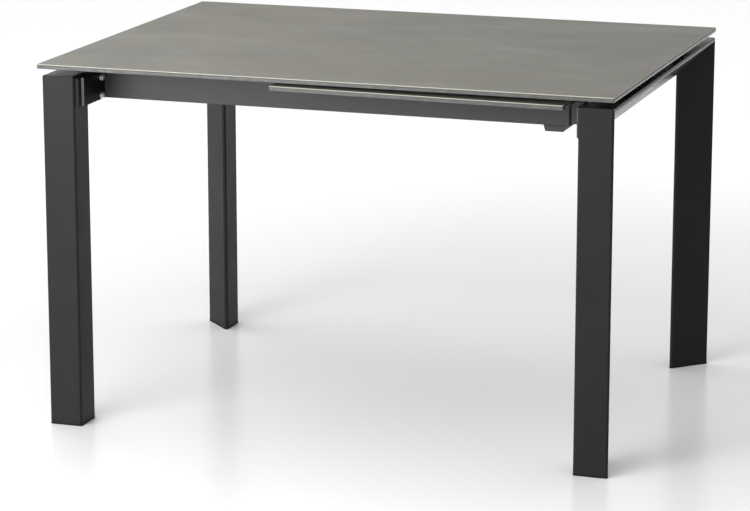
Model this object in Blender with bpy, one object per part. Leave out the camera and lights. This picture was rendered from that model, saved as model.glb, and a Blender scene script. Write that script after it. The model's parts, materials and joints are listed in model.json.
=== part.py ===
"""Extendable dining table: triangular-tube portals, telescoping rails, ceramic top and stored leaf.

Run with: blender --background --python part.py
Units are metres, +Z up. The origin is on the floor under the middle of the closed top.
+X points to the end that pulls out, -Y is the front. Every object is one separate piece.
"""

import math

import bmesh
import bpy
from mathutils import Vector

# ---- driving dimensions ------------------------------------------------------------------
GAP = 0.0003  # air left between two pieces that touch

TOP_LENGTH = 1.200
TOP_WIDTH = 0.900
TABLE_HEIGHT = 0.755
CERAMIC = 0.0032
GLASS = 0.0060
SLAB = CERAMIC + GAP + GLASS
SLAB_CORNER = 0.0025
SLAB_BEVEL = 0.0007
TOP_UNDERSIDE = TABLE_HEIGHT - SLAB

LEAF_LENGTH = 0.600
LEAF_END_INSET = 0.1000  # from the right end of the top to the right end of the stored leaf
LEAF_DROP = 0.0067  # from the underside of the top to the left end of the stored leaf
LEAF_TILT = math.radians(0.4)

FRAME_MIDDLE_X = 0.005  # the top overhangs the fixed portal and ends flush with the other
PORTAL_TOP = 0.733
TUBE_WIDTH = 0.0775  # along X, before the corners are rounded
TUBE_DEPTH = 0.0775  # in from the outer face, before the corners are rounded
TUBE_RADIUS = 0.005
TUBE_WALL = 0.002
TUBE_TIP_X = 0.6016  # from the middle of the frame
TUBE_INNER_X = TUBE_TIP_X - TUBE_WIDTH
TUBE_OUTER_Y = 0.449

FOOT_LIP = 0.0005
FOOT_THICK = 0.0030
FOOT_PLUG = 0.016

SPACER_THICK = {"left": 0.0070, "right": 0.0015}
PLATE_THICK = {"left": 0.0065, "right": 0.0050}
SPACER_HALF_LENGTH = 0.443
PLATE_HALF_LENGTH = 0.431
PLATE_BOTTOM = 0.6705
PLATE_TOP = 0.7285
PLATE_CORNER = 0.001
SPACER_OUTER_X = TUBE_INNER_X - GAP

BOLT_Y = 0.345
BOLT_HEIGHTS = {"upper": 0.7165, "lower": 0.6790}
BOLT_SHANK = 0.0040  # radius
BOLT_WASHER = 0.0078
BOLT_FLATS = 0.0120
BOLT_HOLE = 0.0044

RAIL_FACE_Y = 0.324
RAIL_WIDTH = 0.025
RAIL_BOTTOM = PLATE_BOTTOM
RAIL_HEIGHT = 0.053
RAIL_TOP = RAIL_BOTTOM + RAIL_HEIGHT
RAIL_SHEET = 0.0025
RAIL_MOUTH_X = 0.4740
RAIL_PLAY = 0.0012
INNER_RAIL_WIDTH = 0.019
INNER_RAIL_WALL = 0.002
INNER_RAIL_TAIL_X = -0.400
GUIDE_LENGTH = 0.040
GUIDE_COLLAR = 0.0012
SLIDER_LENGTH = 0.050

TIE_X = 0.4217
TIE_WIDTH = 0.0440
TIE_HEIGHT = 0.012
TIE_SLANT = 0.0038
TIE_SHEET = 0.002

STIFFENER_HALF_LENGTH = 0.560
STIFFENER_Y = RAIL_FACE_Y - RAIL_WIDTH / 2
STIFFENER_WIDTH = 0.050
STIFFENER_THICK = 0.003
STIFFENER_CORNER = 0.004
MOUNT_STATIONS = {"outer": -0.460, "inner": -0.150}
MOUNT_LENGTH = 0.060
MOUNT_WIDTH = 0.022
MOUNT_CORNER = 0.003
REST_PAD_X = 0.5450
REST_PAD_RADIUS = 0.0125

ARM_REACH = 0.0542
ARM_ANGLE = math.radians(171)  # of the stored arm, from +X towards +Z
ARM_WIDTH = 0.016
ARM_THICK = 0.005
ARM_PLAY = 0.001
PIN_RADIUS = 0.0040
PIN_HOLE = 0.0044
LEAF_PIVOTS = {"near": 0.120, "far": 0.440}  # along the leaf from its left end
LEAF_PIVOT_DROP = 0.0225
LEAF_RAIL_START = 0.060
LEAF_RAIL_END = 0.500
LEAF_RAIL_HEIGHT = 0.022
LEAF_RAIL_THICK = 0.005
BRACKET_LENGTH = 0.030
BRACKET_HEIGHT = 0.022
BRACKET_THICK = 0.0125
BRACKET_OUTER_Y = RAIL_FACE_Y - RAIL_SHEET - RAIL_PLAY - INNER_RAIL_WIDTH - GAP
BRACKET_INNER_Y = BRACKET_OUTER_Y - BRACKET_THICK
ARM_Y = BRACKET_INNER_Y - ARM_PLAY - ARM_THICK / 2
LEAF_RAIL_Y = ARM_Y - ARM_THICK / 2 - ARM_PLAY - LEAF_RAIL_THICK / 2

CORNER_STEPS = 6
ROUND_STEPS = 24

SIDES = {"front": -1, "rear": 1}
ENDS = {"left": -1, "right": 1}


# ---- scene and materials -----------------------------------------------------------------
def clear_scene():
    for item in list(bpy.data.objects):
        bpy.data.objects.remove(item, do_unlink=True)


def finish(name, colour, roughness, metallic):
    """A Principled material with one colour."""
    made = bpy.data.materials.new(name)
    made.use_nodes = True
    shader = made.node_tree.nodes["Principled BSDF"]
    shader.inputs["Base Color"].default_value = (*colour, 1.0)
    shader.inputs["Roughness"].default_value = roughness
    shader.inputs["Metallic"].default_value = metallic
    return made


# ---- outlines ----------------------------------------------------------------------------
def rounded(corners, radii, steps=CORNER_STEPS):
    """The outline through these corners, with an arc of the given radius at each."""
    points = []
    count = len(corners)
    for index, radius in enumerate(radii):
        corner = Vector(corners[index])
        before = (Vector(corners[index - 1]) - corner).normalized()
        after = (Vector(corners[(index + 1) % count]) - corner).normalized()
        half = before.angle(after) / 2
        centre = corner + (before + after).normalized() * radius / math.sin(half)
        start = corner + before * radius / math.tan(half) - centre
        turn = math.pi - 2 * half
        if before.cross(after) > 0:
            turn = -turn
        for step in range(steps + 1):
            angle = turn * step / steps
            cos, sin = math.cos(angle), math.sin(angle)
            points.append(
                (
                    centre.x + start.x * cos - start.y * sin,
                    centre.y + start.x * sin + start.y * cos,
                )
            )
    return points


def inset_triangle(distance):
    """The tube's section moved in from all three faces: tip, square corner, toe."""
    width, depth = TUBE_WIDTH, TUBE_DEPTH
    slope = math.hypot(width, depth)
    tip_u = distance * (width + slope) / depth
    toe_v = depth - distance * (depth + slope) / width
    return [(tip_u, distance), (width - distance, distance), (width - distance, toe_v)]


def tube_section(distance, radius):
    return rounded(inset_triangle(distance), [radius] * 3)


def rectangle(low_u, high_u, low_v, high_v, radius, steps=CORNER_STEPS):
    corners = [(low_u, low_v), (high_u, low_v), (high_u, high_v), (low_u, high_v)]
    if not radius:
        return corners
    return rounded(corners, [radius] * 4, steps)


def circle(radius, count=ROUND_STEPS):
    turns = [2 * math.pi * step / count for step in range(count)]
    return [(radius * math.cos(turn), radius * math.sin(turn)) for turn in turns]


def hexagon(flats, count=ROUND_STEPS):
    """A hexagon with as many points as a circle, so that the two can be joined."""
    points = []
    for step in range(count):
        turn = 2 * math.pi * step / count
        off_flat = (turn + math.pi / 6) % (math.pi / 3) - math.pi / 6
        reach = flats / 2 / math.cos(off_flat)
        points.append((reach * math.cos(turn), reach * math.sin(turn)))
    return points


def channel(outer, inner):
    """A C outline, open towards the middle of the table, from two (face, back, low, high) boxes."""
    face, back, low, high = outer
    web, _, floor, ceiling = inner
    return [
        (face, low),
        (back, low),
        (back, floor),
        (web, floor),
        (web, ceiling),
        (back, ceiling),
        (back, high),
        (face, high),
    ]


# ---- solids ------------------------------------------------------------------------------
def solid(name, loops, material, ring=False, parent=None, sharp=30):
    """One closed body through the given loops of points, capped at both ends or joined into a ring."""
    mesh = bpy.data.meshes.new(name)
    work = bmesh.new()
    rows = [[work.verts.new(point) for point in loop] for loop in loops]
    pairs = list(zip(rows, rows[1:]))
    if ring:
        pairs.append((rows[-1], rows[0]))
    else:
        work.faces.new(rows[0])
        work.faces.new(rows[-1])
    for low, high in pairs:
        for index in range(len(low)):
            nearby = index - 1
            work.faces.new((low[nearby], low[index], high[index], high[nearby]))
    bmesh.ops.recalc_face_normals(work, faces=work.faces)
    work.to_mesh(mesh)
    work.free()
    mesh.shade_smooth()
    mesh.set_sharp_from_angle(angle=math.radians(sharp))
    mesh.materials.append(material)
    made = bpy.data.objects.new(name, mesh)
    made.parent = parent
    bpy.context.scene.collection.objects.link(made)
    return made


def along_x(outline, x):
    return [(x, y, z) for y, z in outline]


def along_y(outline, y):
    return [(x, y, z) for x, z in outline]


def along_z(outline, z):
    return [(x, y, z) for x, y in outline]


def slab(name, low, high, material, parent=None):
    """A flat plate with rounded plan corners and a fine bevel round both faces."""
    loops = []
    levels = (
        (low[2], SLAB_BEVEL),
        (low[2] + SLAB_BEVEL, 0.0),
        (high[2] - SLAB_BEVEL, 0.0),
        (high[2], SLAB_BEVEL),
    )
    for level, inset in levels:
        plan = rectangle(
            low[0] + inset, high[0] - inset, low[1] + inset, high[1] - inset, SLAB_CORNER - inset, 4
        )
        loops.append(along_z(plan, level))
    return solid(name, loops, material, parent=parent)


def cutter(name, loops, parent=None):
    """A guide that only cuts holes."""
    made = solid(name, loops, hole_finish, parent=parent)
    made.hide_render = True
    made.display_type = "WIRE"
    return made


def cut(target, tool):
    hole = target.modifiers.new("hole", "BOOLEAN")
    hole.operation = "DIFFERENCE"
    hole.object = tool


def round_loops(centre, stops, axis):
    """Circles of (place, radius) along X or Y, round the line through centre."""
    first, second = centre
    loops = []
    for place, radius in stops:
        ring = [(first + u, second + v) for u, v in circle(radius)]
        loops.append(along_x(ring, place) if axis == "X" else along_y(ring, place))
    return loops


# ---- portals -----------------------------------------------------------------------------
def make_leg(end, side):
    """A triangular tube, cut at the top by the mitre with the end beam."""
    sx, sy = ENDS[end], SIDES[side]
    outer = tube_section(0.0, TUBE_RADIUS)
    inner = tube_section(TUBE_WALL, TUBE_RADIUS - TUBE_WALL)

    def loop(section, top):
        points = []
        for u, v in section:
            z = PORTAL_TOP - v - GAP if top else FOOT_THICK + GAP
            points.append((sx * (TUBE_TIP_X - u), sy * (TUBE_OUTER_Y - v), z))
        return points

    loops = [loop(outer, False), loop(outer, True), loop(inner, True), loop(inner, False)]
    return solid(f"leg_{end}_{side}", loops, frame_finish, ring=True, parent=frame_middle)


def make_end_beam(end):
    """The tube that joins the two legs of a portal, mitred at both ends."""
    sx = ENDS[end]
    outer = tube_section(0.0, TUBE_RADIUS)
    inner = tube_section(TUBE_WALL, TUBE_RADIUS - TUBE_WALL)

    def loop(section, sy):
        return [
            (sx * (TUBE_TIP_X - u), sy * (TUBE_OUTER_Y - v), PORTAL_TOP - v) for u, v in section
        ]

    loops = [loop(outer, -1), loop(outer, 1), loop(inner, 1), loop(inner, -1)]
    return solid(f"end_beam_{end}", loops, frame_finish, ring=True, parent=frame_middle)


def make_foot(end, side):
    """A plastic sole with a plug that goes up inside the leg."""
    sx, sy = ENDS[end], SIDES[side]
    sole = tube_section(-FOOT_LIP, TUBE_RADIUS + FOOT_LIP)
    edge = tube_section(0.0, TUBE_RADIUS)
    plug = tube_section(TUBE_WALL + GAP, TUBE_RADIUS - TUBE_WALL - GAP)
    stops = (
        (edge, 0.0),
        (sole, FOOT_LIP),
        (sole, FOOT_THICK),
        (plug, FOOT_THICK),
        (plug, FOOT_PLUG),
    )
    loops = []
    for section, z in stops:
        loops.append([(sx * (TUBE_TIP_X - u), sy * (TUBE_OUTER_Y - v), z) for u, v in section])
    return solid(f"foot_{end}_{side}", loops, plastic_finish, parent=frame_middle)


# ---- end plates and their bolts ----------------------------------------------------------
def plate_faces(end):
    """Distances of a plate's inner and outer faces from the middle of the frame."""
    outer = SPACER_OUTER_X - SPACER_THICK[end] - GAP
    return outer - PLATE_THICK[end], outer


def make_end_plate(end):
    """The steel plate that carries the rails, and the black spacer between it and the portal."""
    sx = ENDS[end]
    plate = plate_faces(end)
    spacer = (plate[1] + GAP, SPACER_OUTER_X)
    pieces = (
        ("end_plate", PLATE_HALF_LENGTH, plate, frame_finish),
        ("spacer", SPACER_HALF_LENGTH, spacer, plastic_finish),
    )
    made = []
    for name, half, faces, material in pieces:
        outline = rectangle(-half, half, PLATE_BOTTOM, PLATE_TOP, PLATE_CORNER, 2)
        loops = [along_x(outline, sx * x) for x in faces]
        made.append(solid(f"{name}_{end}", loops, material, parent=frame_middle))
    return made


def make_bolt(end, side, level):
    """A flanged hexagon bolt through plate, spacer and the beam's wall."""
    sx = ENDS[end]
    y, z = SIDES[side] * BOLT_Y, BOLT_HEIGHTS[level]
    seat = plate_faces(end)[0] - GAP
    head = hexagon(BOLT_FLATS)
    chamfered = hexagon(BOLT_FLATS * 0.90)
    stops = (
        (TUBE_INNER_X + 0.0070, circle(BOLT_SHANK - 0.0008)),
        (TUBE_INNER_X + 0.0060, circle(BOLT_SHANK)),
        (seat, circle(BOLT_SHANK)),
        (seat, circle(BOLT_WASHER)),
        (seat - 0.0008, circle(BOLT_WASHER)),
        (seat - 0.0014, circle(BOLT_WASHER * 0.86)),
        (seat - 0.0015, head),
        (seat - 0.0052, head),
        (seat - 0.0060, chamfered),
    )
    loops = [along_x([(y + u, z + v) for u, v in ring], sx * x) for x, ring in stops]
    return solid(f"bolt_{end}_{side}_{level}", loops, bolt_finish, parent=frame_middle)


def make_bolt_holes(end, side, level):
    centre = (SIDES[side] * BOLT_Y, BOLT_HEIGHTS[level])
    faces = [ENDS[end] * x for x in (plate_faces(end)[0] - 0.01, TUBE_INNER_X + 0.012)]
    stops = [(x, BOLT_HOLE) for x in faces]
    loops = round_loops(centre, stops, "X")
    return cutter(f"hole_{end}_{side}_{level}", loops, parent=frame_middle)


# ---- telescoping rails -------------------------------------------------------------------
def rail_boxes():
    """Sections as (outer face, back, low, high), measured out from the middle of the table."""
    outer = (RAIL_FACE_Y, RAIL_FACE_Y - RAIL_WIDTH, RAIL_BOTTOM, RAIL_TOP)
    cavity = (RAIL_FACE_Y - RAIL_SHEET, outer[1], RAIL_BOTTOM + RAIL_SHEET, RAIL_TOP - RAIL_SHEET)
    inner_face = cavity[0] - RAIL_PLAY
    inner = (inner_face, inner_face - INNER_RAIL_WIDTH, cavity[2] + RAIL_PLAY, cavity[3] - RAIL_PLAY)
    return outer, cavity, inner


def grown(box, amount):
    """The box with its face, floor and ceiling moved out by an amount; the open back stays."""
    face, back, low, high = box
    return (face + amount, back, low - amount, high + amount)


def mirrored(outline, sy):
    return [(sy * y, z) for y, z in outline]


def make_rails(side):
    sy = SIDES[side]
    outer, cavity, inner = rail_boxes()

    section = mirrored(channel(outer, cavity), sy)
    ends = (-plate_faces("left")[0] + GAP, RAIL_MOUTH_X)
    loops = [along_x(section, x) for x in ends]
    solid(f"outer_rail_{side}", loops, frame_finish, parent=frame_middle)

    face, back, low, high = inner
    shell = mirrored(rectangle(back, face, low, high, 0.0015, 3), sy)
    wall = INNER_RAIL_WALL
    bore = mirrored(rectangle(back + wall, face - wall, low + wall, high - wall, 0.0005, 3), sy)
    tail, nose = INNER_RAIL_TAIL_X, plate_faces("right")[0] - GAP
    loops = [along_x(shell, tail), along_x(shell, nose), along_x(bore, nose), along_x(bore, tail)]
    solid(f"inner_rail_{side}", loops, rail_finish, ring=True, parent=frame_middle)

    liner = mirrored(channel(grown(cavity, -GAP), grown(inner, GAP)), sy)
    collar = mirrored(channel(grown(outer, -0.0005), grown(inner, 0.0005)), sy)
    seat = RAIL_MOUTH_X + GAP
    stops = (
        (RAIL_MOUTH_X - GUIDE_LENGTH, liner),
        (seat, liner),
        (seat, collar),
        (seat + GUIDE_COLLAR, collar),
    )
    loops = [along_x(ring, x) for x, ring in stops]
    solid(f"rail_guide_{side}", loops, plastic_finish, parent=frame_middle)

    loops = [along_x(liner, x) for x in (tail, tail + SLIDER_LENGTH)]
    solid(f"rail_slider_{side}", loops, plastic_finish, parent=frame_middle)


def make_cross_tie():
    """A folded tray across the underside of both outer rails; its open top faces the rails."""
    top = RAIL_BOTTOM - GAP
    bottom = top - TIE_HEIGHT
    reach, sheet = RAIL_FACE_Y, TIE_SHEET

    def plan(inset, slant, z):
        low, high = TIE_X + slant + inset, TIE_X + TIE_WIDTH - slant - inset
        return along_z(rectangle(low, high, -reach + inset, reach - inset, 0.0), z)

    loops = [
        plan(sheet, TIE_SLANT, bottom + sheet),
        plan(sheet, 0.0, top),
        plan(0.0, 0.0, top),
        plan(0.0, TIE_SLANT, bottom),
    ]
    solid("cross_tie", loops, frame_finish, parent=frame_middle)


# ---- top ---------------------------------------------------------------------------------
def make_top():
    x, y, z = TOP_LENGTH / 2, TOP_WIDTH / 2, TABLE_HEIGHT
    slab("main_top_ceramic", (-x, -y, z - CERAMIC), (x, y, z), ceramic_finish)
    slab("main_top_glass", (-x, -y, z - SLAB), (x, y, z - CERAMIC - GAP), glass_finish)


def make_top_supports(side):
    """The bonded flat bar, the blocks that lift it off the outer rail, and its pad on the right beam."""
    sy = SIDES[side]
    bar_top = TOP_UNDERSIDE - GAP
    bar_bottom = bar_top - STIFFENER_THICK
    middle = sy * STIFFENER_Y
    half_x, half_y = STIFFENER_HALF_LENGTH, STIFFENER_WIDTH / 2
    plan = rectangle(-half_x, half_x, middle - half_y, middle + half_y, STIFFENER_CORNER)
    loops = [along_z(plan, bar_bottom), along_z(plan, bar_top)]
    solid(f"top_stiffener_{side}", loops, steel_finish, parent=frame_middle)

    half_x, half_y = MOUNT_LENGTH / 2, MOUNT_WIDTH / 2
    for station, x in MOUNT_STATIONS.items():
        foot = rectangle(x - half_x, x + half_x, middle - half_y, middle + half_y, MOUNT_CORNER)
        loops = [along_z(foot, z) for z in (RAIL_TOP + GAP, bar_bottom - GAP)]
        solid(f"top_mount_{station}_{side}", loops, frame_finish, parent=frame_middle)

    pad = [(REST_PAD_X + u, middle + v) for u, v in circle(REST_PAD_RADIUS)]
    loops = [along_z(pad, z) for z in (PORTAL_TOP + GAP, bar_bottom - GAP)]
    solid(f"rest_pad_{side}", loops, rubber_finish, parent=frame_middle)


# ---- stored leaf and its swing arms ------------------------------------------------------
def leaf_origin():
    """The top left edge of the stored leaf, which it is tilted about."""
    return Vector((TOP_LENGTH / 2 - LEAF_END_INSET - LEAF_LENGTH, 0.0, TOP_UNDERSIDE - LEAF_DROP))


def leaf_pivot(name):
    """World X and Z of a leaf pivot."""
    along, down = LEAF_PIVOTS[name], -LEAF_PIVOT_DROP
    start = leaf_origin()
    cos, sin = math.cos(LEAF_TILT), math.sin(LEAF_TILT)
    return start.x + along * cos + down * sin, start.z - along * sin + down * cos


def frame_pivot(name):
    """World X and Z of the pivot that the arm turns on."""
    x, z = leaf_pivot(name)
    return x - ARM_REACH * math.cos(ARM_ANGLE), z - ARM_REACH * math.sin(ARM_ANGLE)


def make_leaf():
    tilt = bpy.data.objects.new("leaf_tilt", None)
    tilt.location = leaf_origin()
    tilt.rotation_euler = (0.0, LEAF_TILT, 0.0)
    bpy.context.scene.collection.objects.link(tilt)
    y = TOP_WIDTH / 2
    slab("leaf_ceramic", (0.0, -y, -CERAMIC), (LEAF_LENGTH, y, 0.0), ceramic_finish, tilt)
    slab("leaf_glass", (0.0, -y, -SLAB), (LEAF_LENGTH, y, -CERAMIC - GAP), glass_finish, tilt)
    for side, sy in SIDES.items():
        top = -SLAB - GAP
        bar = rectangle(LEAF_RAIL_START, LEAF_RAIL_END, top - LEAF_RAIL_HEIGHT, top, 0.0015, 2)
        faces = (sy * (LEAF_RAIL_Y - LEAF_RAIL_THICK / 2), sy * (LEAF_RAIL_Y + LEAF_RAIL_THICK / 2))
        rail = solid(f"leaf_rail_{side}", [along_y(bar, face) for face in faces], steel_finish, parent=tilt)
        for pivot in LEAF_PIVOTS:
            cut(rail, pivot_holes[f"leaf_{pivot}"])


def make_pivot_holes():
    """Cutters along Y through both sides of the table, one for each pivot line."""
    holes = {}
    for pivot in LEAF_PIVOTS:
        for kind, centre in (("leaf", leaf_pivot(pivot)), ("frame", frame_pivot(pivot))):
            stops = ((-TOP_WIDTH / 2, PIN_HOLE), (TOP_WIDTH / 2, PIN_HOLE))
            holes[f"{kind}_{pivot}"] = cutter(f"hole_{kind}_{pivot}", round_loops(centre, stops, "Y"))
    return holes


def arm_outline(start, end):
    """A bar with round ends from one pivot to the other."""
    run = Vector(end) - Vector(start)
    turn = math.atan2(run.y, run.x)
    steps = ROUND_STEPS // 2
    points = []
    for centre, first in ((end, turn - math.pi / 2), (start, turn + math.pi / 2)):
        for step in range(steps + 1):
            angle = first + math.pi * step / steps
            points.append(
                (
                    centre[0] + ARM_WIDTH / 2 * math.cos(angle),
                    centre[1] + ARM_WIDTH / 2 * math.sin(angle),
                )
            )
    return points


def make_swing_arm(pivot, side):
    sy = SIDES[side]
    outline = arm_outline(frame_pivot(pivot), leaf_pivot(pivot))
    faces = (sy * (ARM_Y - ARM_THICK / 2), sy * (ARM_Y + ARM_THICK / 2))
    arm = solid(f"swing_arm_{pivot}_{side}", [along_y(outline, face) for face in faces], steel_finish)
    cut(arm, pivot_holes[f"leaf_{pivot}"])
    cut(arm, pivot_holes[f"frame_{pivot}"])


def make_pivot_bracket(pivot, side):
    """The block on the inner rail, and the headed pin that holds the arm on it."""
    sy = SIDES[side]
    x, z = frame_pivot(pivot)
    half_x, half_z = BRACKET_LENGTH / 2, BRACKET_HEIGHT / 2
    outline = rectangle(x - half_x, x + half_x, z - half_z, z + half_z, 0.003)
    faces = (sy * BRACKET_INNER_Y, sy * BRACKET_OUTER_Y)
    block = solid(f"pivot_bracket_{pivot}_{side}", [along_y(outline, face) for face in faces], steel_finish)
    cut(block, pivot_holes[f"frame_{pivot}"])

    arm_face = ARM_Y - ARM_THICK / 2
    stops = (
        (sy * (BRACKET_OUTER_Y - GAP), PIN_RADIUS),
        (sy * (arm_face - GAP), PIN_RADIUS),
        (sy * (arm_face - 0.0008), PIN_RADIUS - 0.0005),
    )
    solid(f"pivot_pin_{pivot}_{side}", round_loops((x, z), stops, "Y"), bolt_finish)


def make_leaf_rod(pivot):
    """The cross rod that joins the front and rear arms and carries the leaf."""
    reach = ARM_Y + ARM_THICK / 2 + GAP
    stops = (
        (-reach, PIN_RADIUS - 0.0005),
        (-reach + 0.0005, PIN_RADIUS),
        (reach - 0.0005, PIN_RADIUS),
        (reach, PIN_RADIUS - 0.0005),
    )
    solid(f"leaf_rod_{pivot}", round_loops(leaf_pivot(pivot), stops, "Y"), bolt_finish)


clear_scene()

frame_middle = bpy.data.objects.new("frame_middle", None)
frame_middle.location.x = FRAME_MIDDLE_X
bpy.context.scene.collection.objects.link(frame_middle)

frame_finish = finish("graphite powder coat", (0.055, 0.056, 0.058), 0.55, 0.0)
rail_finish = finish("graphite powder coat, inner rail", (0.050, 0.051, 0.053), 0.50, 0.0)
ceramic_finish = finish("grey porcelain stoneware", (0.235, 0.220, 0.200), 0.60, 0.0)
glass_finish = finish("dark tempered glass", (0.100, 0.105, 0.100), 0.12, 0.0)
plastic_finish = finish("black plastic", (0.010, 0.010, 0.011), 0.50, 0.0)
rubber_finish = finish("black rubber", (0.012, 0.012, 0.012), 0.80, 0.0)
bolt_finish = finish("zinc plated steel", (0.620, 0.620, 0.610), 0.30, 1.0)
steel_finish = finish("dark zinc steel", (0.170, 0.170, 0.172), 0.45, 1.0)
hole_finish = finish("hole", (1.0, 0.0, 0.0), 1.0, 0.0)

for end in ENDS:
    beam = make_end_beam(end)
    plate, spacer = make_end_plate(end)
    for side in SIDES:
        make_leg(end, side)
        make_foot(end, side)
        for level in BOLT_HEIGHTS:
            make_bolt(end, side, level)
            hole = make_bolt_holes(end, side, level)
            for target in (beam, plate, spacer):
                cut(target, hole)

make_top()
make_cross_tie()
pivot_holes = make_pivot_holes()
make_leaf()
for side in SIDES:
    make_rails(side)
    make_top_supports(side)
    for pivot in LEAF_PIVOTS:
        make_swing_arm(pivot, side)
        make_pivot_bracket(pivot, side)
for pivot in LEAF_PIVOTS:
    make_leaf_rod(pivot)
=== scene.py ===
"""Looks for the extendable dining table: finishes, slabs, weld beads, floor, light and camera.

Units are metres in the frame of the CAD model: +X to the end that pulls out, -Y the front, +Z up.
"""

import json
import math

import bmesh
import bpy
from mathutils import Matrix, Vector


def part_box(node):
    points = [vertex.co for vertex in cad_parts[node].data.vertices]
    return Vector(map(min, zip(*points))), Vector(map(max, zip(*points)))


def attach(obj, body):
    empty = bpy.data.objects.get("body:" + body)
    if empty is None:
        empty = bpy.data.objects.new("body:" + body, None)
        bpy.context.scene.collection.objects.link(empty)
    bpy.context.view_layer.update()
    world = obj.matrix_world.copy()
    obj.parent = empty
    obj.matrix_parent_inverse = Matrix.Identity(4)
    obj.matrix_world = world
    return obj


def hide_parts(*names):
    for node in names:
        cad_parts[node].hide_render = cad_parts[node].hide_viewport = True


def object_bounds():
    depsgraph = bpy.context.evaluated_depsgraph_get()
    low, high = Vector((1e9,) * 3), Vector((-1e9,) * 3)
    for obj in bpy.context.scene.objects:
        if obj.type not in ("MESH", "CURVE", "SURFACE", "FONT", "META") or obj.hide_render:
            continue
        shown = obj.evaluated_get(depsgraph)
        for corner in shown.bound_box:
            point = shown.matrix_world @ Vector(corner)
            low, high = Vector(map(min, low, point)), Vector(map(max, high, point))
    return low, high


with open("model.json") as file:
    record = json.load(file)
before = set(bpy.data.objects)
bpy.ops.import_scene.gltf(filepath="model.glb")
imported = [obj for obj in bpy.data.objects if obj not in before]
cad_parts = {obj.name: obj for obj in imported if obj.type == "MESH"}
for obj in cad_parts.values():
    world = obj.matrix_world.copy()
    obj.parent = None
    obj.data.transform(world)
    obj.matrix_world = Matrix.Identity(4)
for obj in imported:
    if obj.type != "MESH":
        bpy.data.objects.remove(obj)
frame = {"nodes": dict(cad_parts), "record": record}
nodes = frame["nodes"]
cad_low, cad_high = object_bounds()

# ---- camera ------------------------------------------------------------------------------
CAMERA_PLACE = (1.9533, -5.8839, 1.7787)
CAMERA_YAW = math.radians(18.63)  # turned left of +Y
CAMERA_PITCH = math.radians(13.40)  # down from the horizon
SENSOR_WIDTH = 36.0  # millimetres
LENS = 143.60

# ---- light and floor ---------------------------------------------------------------------
SKY_LIGHT = {"left": 0.80, "right": 0.08, "front": 0.22, "back": 0.60, "top": 1.35}
SOFT_BOXES = {  # place, aim, size, watts
    "front_box": ((0.2, -4.6, 2.0), (0.0, 0.0, 0.4), (2.6, 1.8), 75.0),
    "key_box": ((-1.0, -3.3, 2.2), (-0.1, 0.0, 0.4), (1.8, 1.4), 60.0),
    "side_box": ((-1.6, -2.9, 0.95), (-0.5, -0.4, 0.7), (1.7, 0.9), 78.0),
    "top_box": ((-1.2, 0.5, 2.0), (-0.6, 0.1, 0.75), (1.0, 1.0), 9.0),
}
FLOOR_SIZE = 60.0
FLOOR_DROP = 0.0002
PAINTED_LIGHT_FROM_TO = (1.0, 2.6)  # metres from the table's middle, where painted shadow turns to painted light
# painted shadow: the floor near the table is darker; painted light: far out it is paler
FLOOR_NEAR_PAINTED_SHADE, FLOOR_FAR_PAINTED_LIGHT = (0.74, 0.74, 0.735, 1.0), (0.99, 0.99, 0.99, 1.0)
# painted glow: the far floor emits light though it is no lamp
FAR_PAINTED_GLOW = 0.16


# ---- node helpers ------------------------------------------------------------------------
class Finish:
    """A material under construction, with short ways to add and join nodes."""

    def __init__(self, name):
        self.material = bpy.data.materials.new(name)
        self.material.use_nodes = True
        self.tree = self.material.node_tree
        self.shader = self.tree.nodes["Principled BSDF"]
        self.place = self.add("ShaderNodeTexCoord").outputs["Object"]

    def add(self, kind, **settings):
        node = self.tree.nodes.new(kind)
        for key, value in settings.items():
            setattr(node, key, value)
        return node

    def link(self, source, target):
        self.tree.links.new(source, target)

    def set(self, **values):
        for key, value in values.items():
            self.shader.inputs[key.replace("_", " ")].default_value = value

    def stretched(self, scale):
        """The object's own coordinates, scaled along each axis."""
        mapping = self.add("ShaderNodeMapping")
        mapping.inputs["Scale"].default_value = scale
        self.link(self.place, mapping.inputs["Vector"])
        return mapping.outputs["Vector"]

    def noise(self, scale, detail=4.0, roughness=0.5, distortion=0.0, vector=None):
        node = self.add("ShaderNodeTexNoise")
        node.inputs["Scale"].default_value = scale
        node.inputs["Detail"].default_value = detail
        node.inputs["Roughness"].default_value = roughness
        node.inputs["Distortion"].default_value = distortion
        self.link(vector or self.place, node.inputs["Vector"])
        return node.outputs["Fac"]

    def spread(self, value, from_low, from_high, to_low, to_high):
        """A value moved from one range to another, and kept inside it."""
        node = self.add("ShaderNodeMapRange")
        numbers = (from_low, from_high, to_low, to_high)
        for socket, number in zip(("From Min", "From Max", "To Min", "To Max"), numbers):
            node.inputs[socket].default_value = number
        self.link(value, node.inputs["Value"])
        return node.outputs["Result"]

    def facing(self, axis):
        """How far the surface faces along an axis of the scene, from -1 to 1."""
        split = self.add("ShaderNodeSeparateXYZ")
        self.link(self.add("ShaderNodeNewGeometry").outputs["Normal"], split.inputs["Vector"])
        return split.outputs[axis]

    def mix(self, amount, first, second):
        node = self.add("ShaderNodeMix", data_type="RGBA")
        pairs = (("Factor_Float", amount), ("A_Color", first), ("B_Color", second))
        sockets = {socket.identifier: socket for socket in node.inputs}
        for name, value in pairs:
            if isinstance(value, (float, tuple)):
                sockets[name].default_value = value
            else:
                self.link(value, sockets[name])
        return [socket for socket in node.outputs if socket.identifier == "Result_Color"][0]

    def bump(self, height, distance, strength=1.0, under=None):
        node = self.add("ShaderNodeBump")
        node.inputs["Distance"].default_value = distance
        node.inputs["Strength"].default_value = strength
        self.link(height, node.inputs["Height"])
        if under:
            self.link(under, node.inputs["Normal"])
        return node.outputs["Normal"]

    def colour(self, value):
        self.link(value, self.shader.inputs["Base Color"])

    def roughness(self, value):
        self.link(value, self.shader.inputs["Roughness"])

    def normal(self, value):
        self.link(value, self.shader.inputs["Normal"])


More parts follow.
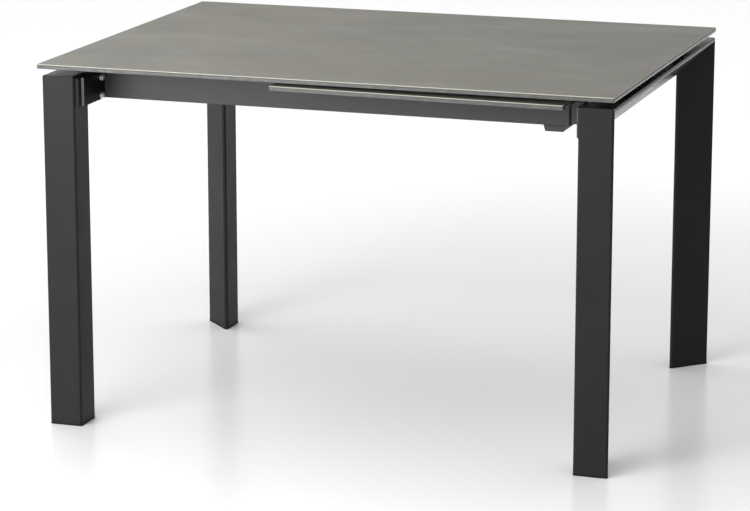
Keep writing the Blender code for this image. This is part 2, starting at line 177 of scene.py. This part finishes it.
def grey(level, warmth=0.0):
    """A grey whose red rises and blue falls by the warmth, as an RGBA colour."""
    return (level * (1 + warmth), level, level * (1 - warmth), 1.0)


# ---- materials ---------------------------------------------------------------------------
STONE_LEVELS = {  # brightness of each layer of the stone, from the body to the ground edge and its painted highlight
    "cloud_dark": 0.118,
    "cloud_pale": 0.145,
    "smear": 0.176,
    "stain": 0.100,
    "fleck": 0.205,
    "grain": 0.22,
    "arris_and_highlight": 0.40,
    # painted shade: the darker colour of the slab's sides
    "side": 0.068,
}


def stone(level):
    """The stone's warm, faintly olive grey."""
    return (level * 1.05, level * 1.005, level * 0.85, 1.0)


def stoneware():
    """Matt grey porcelain: clouds, faint smears, a sandy grain, and a painted highlight on the
    pale ground edge.
    """
    made = Finish("stoneware")
    clouds = made.noise(2.6, 5.0, 0.55, 0.8)
    smears = made.noise(1.0, 5.0, 0.55, 1.0, made.stretched((3.2, 6.5, 4.0)))
    stains = made.noise(5.2, 6.0, 0.62, 0.9)
    flecks = made.noise(38.0, 4.0, 0.6, 0.4)
    grain = made.noise(900.0, 3.0, 0.6)
    levels = STONE_LEVELS
    cloud_mask = made.spread(clouds, 0.34, 0.68, 0.0, 1.0)
    face = made.mix(cloud_mask, stone(levels["cloud_dark"]), stone(levels["cloud_pale"]))
    face = made.mix(made.spread(smears, 0.52, 0.70, 0.0, 0.26), face, stone(levels["smear"]))
    face = made.mix(made.spread(stains, 0.54, 0.72, 0.0, 0.55), face, stone(levels["stain"]))
    face = made.mix(made.spread(flecks, 0.60, 0.76, 0.0, 0.16), face, stone(levels["fleck"]))
    face = made.mix(made.spread(grain, 0.30, 0.70, 0.0, 0.10), face, stone(levels["grain"]))
    up = made.facing("Z")
    # painted highlight: the upper rounded edge takes the pale edge colour, partly a pale ground
    # edge
    face = made.mix(made.spread(up, 0.97, 0.85, 0.0, 1.0), face, stone(levels["arris_and_highlight"]))
    # painted shade: faces that do not face up, the slab's sides, are darker
    made.colour(made.mix(made.spread(up, 0.05, 0.30, 0.0, 1.0), stone(levels["side"]), face))
    made.roughness(made.spread(smears, 0.30, 0.75, 0.60, 0.46))
    sand = made.bump(grain, 0.00008, 0.5)
    made.normal(made.bump(clouds, 0.0006, 0.25, sand))
    made.set(IOR=1.5, Specular_IOR_Level=0.4)
    return made.material


def edge_glass():
    """The back-painted pane: a dark, glossy body."""
    made = Finish("dark_glass")
    wave = made.noise(60.0, 2.0, 0.5)
    dark, pale = (0.040, 0.043, 0.040, 1.0), (0.060, 0.064, 0.059, 1.0)
    made.colour(made.mix(made.spread(wave, 0.3, 0.7, 0.0, 1.0), dark, pale))
    made.roughness(made.spread(wave, 0.3, 0.7, 0.16, 0.26))
    made.normal(made.bump(made.noise(400.0, 2.0), 0.00002, 0.3))
    made.set(IOR=1.52)
    return made.material


def powder_coat(name, level, sheen, dullness):
    """Graphite powder coat: a fine orange peel over a matt, slightly uneven colour."""
    made = Finish(name)
    tone = made.noise(9.0, 3.0, 0.5)
    speck = made.noise(2600.0, 2.0, 0.6)
    peel = made.noise(750.0, 3.0, 0.55)
    dark, pale = grey(level * 0.93), grey(level * 1.07, 0.01)
    base = made.mix(made.spread(tone, 0.3, 0.7, 0.0, 1.0), dark, pale)
    made.colour(made.mix(made.spread(speck, 0.55, 0.75, 0.0, 0.25), base, grey(level * 1.8)))
    made.roughness(made.spread(tone, 0.3, 0.7, dullness - 0.04, dullness + 0.04))
    made.normal(made.bump(peel, 0.00006, dullness))
    made.set(IOR=1.5, Specular_IOR_Level=sheen)
    return made.material


def plate_painted_light_and_shade():
    """Thinly coated plate: faces near black as painted shade, and edges to the front and rear
    paler as painted light.
    """
    made = Finish("plate_paint")
    tone = made.noise(60.0, 3.0, 0.5)
    # painted shade: the plate's side faces are near black
    face = made.mix(made.spread(tone, 0.3, 0.7, 0.0, 1.0), grey(0.0035), grey(0.0050))
    # painted light: the edges facing front and rear are paler
    painted_lit_edge = made.mix(made.spread(tone, 0.3, 0.7, 0.0, 1.0), grey(0.065), grey(0.085))
    either = made.add("ShaderNodeMath", operation="ABSOLUTE")
    made.link(made.facing("Y"), either.inputs[0])
    made.colour(made.mix(made.spread(either.outputs["Value"], 0.6, 0.9, 0.0, 1.0), face, painted_lit_edge))
    made.roughness(made.spread(tone, 0.3, 0.7, 0.46, 0.54))
    made.normal(made.bump(made.noise(900.0, 3.0, 0.55), 0.00004, 0.5))
    made.set(Specular_IOR_Level=0.05)
    return made.material


def moulded_plastic():
    """Black polypropylene with a spark-eroded grain."""
    made = Finish("black_plastic")
    grain = made.noise(1400.0, 3.0, 0.6)
    tone = made.noise(25.0, 3.0)
    made.colour(made.mix(made.spread(tone, 0.3, 0.7, 0.0, 1.0), grey(0.0085), grey(0.0130)))
    made.roughness(made.spread(grain, 0.3, 0.7, 0.48, 0.62))
    made.normal(made.bump(grain, 0.00004, 0.7))
    made.set(Specular_IOR_Level=0.08)
    return made.material


def black_rubber():
    """Soft black rubber with a dusty bloom."""
    made = Finish("black_rubber")
    bloom = made.noise(80.0, 4.0, 0.6)
    made.colour(made.mix(made.spread(bloom, 0.45, 0.75, 0.0, 1.0), grey(0.011), grey(0.024)))
    made.roughness(made.spread(bloom, 0.3, 0.7, 0.74, 0.88))
    made.normal(made.bump(made.noise(600.0, 3.0), 0.00005, 0.5))
    return made.material


def zinc_plate():
    """Bright zinc: silver with a faint blue and yellow passivation and fine turning marks."""
    made = Finish("zinc_steel")
    film = made.noise(260.0, 3.0, 0.5, 0.4)
    marks = made.noise(3200.0, 2.0, 0.5)
    blue, yellow = (0.72, 0.73, 0.75, 1.0), (0.82, 0.81, 0.77, 1.0)
    made.colour(made.mix(made.spread(film, 0.3, 0.7, 0.0, 1.0), blue, yellow))
    made.roughness(made.spread(marks, 0.3, 0.7, 0.24, 0.38))
    made.normal(made.bump(marks, 0.00001, 0.4))
    made.set(Metallic=1.0)
    return made.material


def dark_zinc():
    """Dark zinc-plated strip steel with rolling marks along it."""
    made = Finish("dark_steel")
    rolled = made.noise(1.0, 4.0, 0.6, 0.0, made.stretched((30.0, 900.0, 900.0)))
    film = made.noise(40.0, 4.0, 0.55)
    blue, yellow = (0.150, 0.152, 0.156, 1.0), (0.205, 0.203, 0.196, 1.0)
    base = made.mix(made.spread(film, 0.3, 0.7, 0.0, 1.0), blue, yellow)
    made.colour(made.mix(made.spread(rolled, 0.5, 0.8, 0.0, 0.35), base, grey(0.30)))
    made.roughness(made.spread(rolled, 0.3, 0.7, 0.36, 0.50))
    made.normal(made.bump(rolled, 0.00002, 0.4))
    made.set(Metallic=1.0)
    return made.material


FINISHES = {
    "stoneware": stoneware(),
    "dark_glass": edge_glass(),
    "frame_paint": powder_coat("frame_paint", 0.0110, 0.11, 0.42),
    "rail_paint": powder_coat("rail_paint", 0.031, 0.16, 0.42),
    "beam_paint": powder_coat("beam_paint", 0.0110, 0.32, 0.24),
    "plate_paint": plate_painted_light_and_shade(),
    "black_plastic": moulded_plastic(),
    "black_rubber": black_rubber(),
    "zinc_steel": zinc_plate(),
    "dark_steel": dark_zinc(),
}

# ---- finishes on the CAD nodes -----------------------------------------------------------
SLOT_OF = {part["node"]: part["material_slot"] for part in frame["record"]["subparts"]}
OTHER_FINISH = {
    "end_plate_left": "plate_paint",
    "end_plate_right": "plate_paint",
    "end_beam_left": "beam_paint",
    "end_beam_right": "beam_paint",
}
SOFT_EDGES = {  # bevel width in metres, by the start of the node's name
    "leg": 0.0003,
    "end_beam": 0.0003,
    "foot": 0.0003,
    "end_plate": 0.0009,
    "spacer": 0.0005,
    "bolt": 0.0003,
    "outer_rail": 0.0009,
    "inner_rail": 0.0003,
    "rail_guide": 0.0004,
    "rail_slider": 0.0004,
    "cross_tie": 0.0006,
    "top_mount": 0.0008,
    "top_stiffener": 0.0006,
    "rest_pad": 0.0010,
    "leaf_rail": 0.0006,
    "leaf_rod": 0.0002,
    "swing_arm": 0.0006,
    "pivot_bracket": 0.0008,
    "pivot_pin": 0.0002,
}
EDGE_STEPS = 3
JOIN_DISTANCE = 0.00002
SHARP_ANGLE = math.radians(32)


def keep_flat(piece):
    """Shading that leaves a piece's flat faces flat beside its round edges."""
    flat = piece.modifiers.new("flat_faces", "WEIGHTED_NORMAL")
    flat.weight = 100


def dress(name, node):
    """The node's finish, fine round edges, and shading that keeps its flat faces flat."""
    node.data.materials.clear()
    node.data.materials.append(FINISHES[OTHER_FINISH.get(name, SLOT_OF[name])])
    node.data.shade_smooth()
    weld = node.modifiers.new("join", "WELD")
    weld.merge_threshold = JOIN_DISTANCE
    widths = [width for start, width in SOFT_EDGES.items() if name.startswith(start)]
    for width in widths:
        bevel = node.modifiers.new("edge", "BEVEL")
        bevel.width = width
        bevel.segments = EDGE_STEPS
        bevel.limit_method = "ANGLE"
        bevel.angle_limit = SHARP_ANGLE
    keep_flat(node)


for name, node in nodes.items():
    dress(name, node)


# ---- mesh pieces -------------------------------------------------------------------------
def loft(name, loops, material, body, node=None):
    """A smooth piece through loops of points with equal counts, capped at both ends."""
    mesh = bpy.data.meshes.new(name)
    work = bmesh.new()
    rows = [[work.verts.new(point) for point in loop] for loop in loops]
    work.faces.new(rows[0])
    work.faces.new(rows[-1])
    for low, high in zip(rows, rows[1:]):
        for index in range(len(low)):
            before = index - 1
            work.faces.new((low[before], low[index], high[index], high[before]))
    bmesh.ops.recalc_face_normals(work, faces=work.faces)
    work.to_mesh(mesh)
    work.free()
    mesh.shade_smooth()
    mesh.materials.append(material)
    piece = bpy.data.objects.new(name, mesh)
    bpy.context.scene.collection.objects.link(piece)
    keep_flat(piece)
    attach(piece, body)
    if node:
        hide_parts(node)
    return piece


# ---- top and leaf slabs ------------------------------------------------------------------
SLAB_PLAN_RADIUS = 0.0025
NOSING_RADIUS = {  # under and upper
    "stoneware": (0.0003, 0.0012),
    "dark_glass": (0.0010, 0.0010),
}
NOSING_STEPS = 5
PLAN_STEPS = 8
LEAF_TILT = math.radians(0.4)


def round_rectangle(low, high, radius):
    """Plan points of a rectangle with round corners, counted the same way for any radius."""
    centres = (
        (high[0] - radius, high[1] - radius),
        (low[0] + radius, high[1] - radius),
        (low[0] + radius, low[1] + radius),
        (high[0] - radius, low[1] + radius),
    )
    points = []
    for quarter, (x, y) in enumerate(centres):
        for step in range(PLAN_STEPS + 1):
            turn = math.pi / 2 * (quarter + step / PLAN_STEPS)
            points.append((x + radius * math.cos(turn), y + radius * math.sin(turn)))
    return points


def nosing(low_z, high_z, radii):
    """(height, inset) pairs up a slab's edge, rounded below and above."""
    under, upper = radii
    profile = []
    for step in range(NOSING_STEPS + 1):
        turn = math.pi / 2 * step / NOSING_STEPS
        profile.append((low_z + under * (1 - math.sin(turn)), under * (1 - math.cos(turn))))
    profile.reverse()
    for step in range(NOSING_STEPS + 1):
        turn = math.pi / 2 * step / NOSING_STEPS
        profile.append((high_z - upper * (1 - math.sin(turn)), upper * (1 - math.cos(turn))))
    return profile


def make_slab(node, low, high, body, place):
    """A flat slab with a finely rounded edge, in the stone's or the glass's finish."""
    slot = SLOT_OF[node]
    loops = []
    for level, inset in nosing(low[2], high[2], NOSING_RADIUS[slot]):
        near, far = (low[0] + inset, low[1] + inset), (high[0] - inset, high[1] - inset)
        plan = round_rectangle(near, far, SLAB_PLAN_RADIUS - inset)
        loops.append([place @ Vector((x, y, level)) for x, y in plan])
    loft(f"{node}_slab", loops, FINISHES[slot], body, node)


def make_slabs():
    for node in ("main_top_ceramic", "main_top_glass"):
        low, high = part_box(node)
        make_slab(node, low, high, "fixed_frame", Matrix.Identity(4))
    stone_low, stone_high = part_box("main_top_ceramic")
    low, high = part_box("leaf_ceramic")
    thick = stone_high.z - stone_low.z
    start = Vector((low.x + thick * math.sin(LEAF_TILT), 0.0, high.z))
    length = (high.x - start.x) / math.cos(LEAF_TILT)
    place = Matrix.Translation(start) @ Matrix.Rotation(LEAF_TILT, 4, "Y")
    for node, match in (("leaf_ceramic", "main_top_ceramic"), ("leaf_glass", "main_top_glass")):
        under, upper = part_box(match)
        bottom, top = under.z - stone_high.z, upper.z - stone_high.z
        make_slab(node, (0.0, low.y, bottom), (length, high.y, top), "leaf", place)


make_slabs()

# ---- weld beads --------------------------------------------------------------------------
BEAD_RADIUS = 0.0024
BEAD_RIPPLE = 0.14
BEAD_PITCH = 0.0023
BEAD_ROWS_PER_RIPPLE = 6
BEAD_ROUND_STEPS = 7
BEAD_MARGIN = 0.0035
BEAD_HOLLOW = 0.16
BEAD_CLEARANCE = 0.0001
BEAD_LEAST_SWELL = 0.02


def make_bead(name, corner_x, corner_y, out_x, out_y, low_z, high_z, material, body):
    """A rippled fillet up the corner between a rail and its end plate."""
    rows = int((high_z - low_z) / BEAD_PITCH * BEAD_ROWS_PER_RIPPLE)
    loops = []
    for row in range(rows + 1):
        z = low_z + (high_z - low_z) * row / rows
        ends = min(1.0, row / BEAD_ROWS_PER_RIPPLE, (rows - row) / BEAD_ROWS_PER_RIPPLE)
        swell = math.sqrt(max(ends, BEAD_LEAST_SWELL))
        ripple = 1 + BEAD_RIPPLE * math.sin(2 * math.pi * z / BEAD_PITCH)
        radius = BEAD_RADIUS * swell * ripple
        loop = [(corner_x, corner_y, z)]
        for step in range(BEAD_ROUND_STEPS + 1):
            turn = math.pi / 2 * step / BEAD_ROUND_STEPS
            hollow = 1 - BEAD_HOLLOW * math.sin(2 * turn)
            u, v = radius * hollow * math.cos(turn), radius * hollow * math.sin(turn)
            loop.append((corner_x + out_x * u, corner_y + out_y * v, z))
        loops.append(loop)
    loft(name, loops, material, body)


def make_beads():
    for side, sy in (("front", -1), ("rear", 1)):
        pairs = (
            ("left", f"outer_rail_{side}", "fixed_frame", 1),
            ("right", f"inner_rail_{side}", "moving_frame", -1),
        )
        for end, rail, body, out_x in pairs:
            plate_low, plate_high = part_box(f"end_plate_{end}")
            rail_low, rail_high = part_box(rail)
            face_x = plate_high.x if out_x > 0 else plate_low.x
            face_y = rail_low.y if sy < 0 else rail_high.y
            make_bead(
                f"weld_{end}_{side}",
                face_x + out_x * BEAD_CLEARANCE,
                face_y + sy * BEAD_CLEARANCE,
                out_x,
                sy,
                rail_low.z + BEAD_MARGIN,
                rail_high.z - BEAD_MARGIN,
                FINISHES["rail_paint"],
                body,
            )


make_beads()

# ---- floor, light and camera -------------------------------------------------------------
def make_floor():
    """A faintly glossy studio floor with painted shadow near the table, running out paler and
    glowing as painted light to the white surroundings.
    """
    mesh = bpy.data.meshes.new("floor")
    half = FLOOR_SIZE / 2
    level = cad_low.z - FLOOR_DROP
    corners = [(-half, -half), (half, -half), (half, half), (-half, half)]
    mesh.from_pydata([(x, y, level) for x, y in corners], [], [(0, 1, 2, 3)])
    made = Finish("studio_floor")
    away = made.add("ShaderNodeVectorMath", operation="LENGTH")
    made.link(made.place, away.inputs[0])
    # painted shadow near the table, fading to painted light and a painted glow further out
    painted_light_ramp = made.spread(away.outputs["Value"], *PAINTED_LIGHT_FROM_TO, 0.0, 1.0)
    made.colour(made.mix(painted_light_ramp, FLOOR_NEAR_PAINTED_SHADE, FLOOR_FAR_PAINTED_LIGHT))
    painted_glow = made.spread(away.outputs["Value"], *PAINTED_LIGHT_FROM_TO, 0.0, FAR_PAINTED_GLOW)
    made.link(painted_glow, made.shader.inputs["Emission Strength"])
    made.set(Roughness=0.22, IOR=1.45, Emission_Color=(1.0, 1.0, 1.0, 1.0))
    mesh.materials.append(made.material)
    floor = bpy.data.objects.new("floor", mesh)
    bpy.context.scene.collection.objects.link(floor)


def make_world():
    """Soft light from large white walls, each fading as the square of the cosine."""
    world = bpy.data.worlds.new("studio")
    world.use_nodes = True
    tree = world.node_tree
    sky = tree.nodes["Background"]
    sky.inputs["Color"].default_value = (1.0, 1.0, 1.0, 1.0)
    direction = tree.nodes.new("ShaderNodeTexCoord")
    split = tree.nodes.new("ShaderNodeSeparateXYZ")
    tree.links.new(direction.outputs["Generated"], split.inputs["Vector"])

    def math_node(operation, first, second):
        node = tree.nodes.new("ShaderNodeMath")
        node.operation = operation
        for socket, value in zip(node.inputs, (first, second)):
            if isinstance(value, float):
                socket.default_value = value
            else:
                tree.links.new(value, socket)
        return node.outputs["Value"]

    facing = {
        "left": ("X", -1.0),
        "right": ("X", 1.0),
        "front": ("Y", -1.0),
        "back": ("Y", 1.0),
        "top": ("Z", 1.0),
    }
    total = 0.0
    for side, strength in SKY_LIGHT.items():
        axis, sign = facing[side]
        towards = math_node("MAXIMUM", math_node("MULTIPLY", split.outputs[axis], sign), 0.0)
        share = math_node("MULTIPLY", math_node("POWER", towards, 2.0), strength)
        total = math_node("ADD", share, total)
    tree.links.new(total, sky.inputs["Strength"])
    bpy.context.scene.world = world


def area_light(name, place, aim, size, watts):
    data = bpy.data.lights.new(name, "AREA")
    data.shape = "RECTANGLE"
    data.size, data.size_y = size
    data.energy = watts
    lamp = bpy.data.objects.new(name, data)
    lamp.location = place
    lamp.rotation_euler = (Vector(aim) - Vector(place)).to_track_quat("-Z", "Y").to_euler()
    bpy.context.scene.collection.objects.link(lamp)


def make_camera():
    data = bpy.data.cameras.new("camera")
    data.sensor_width = SENSOR_WIDTH
    data.lens = LENS
    camera = bpy.data.objects.new("camera", data)
    camera.location = CAMERA_PLACE
    camera.rotation_euler = (math.pi / 2 - CAMERA_PITCH, 0.0, CAMERA_YAW)
    bpy.context.scene.collection.objects.link(camera)
    bpy.context.scene.camera = camera


make_floor()
make_world()
for name, (place, aim, size, watts) in SOFT_BOXES.items():
    area_light(name, place, aim, size, watts)
make_camera()
bpy.context.scene.view_settings.view_transform = "Standard"
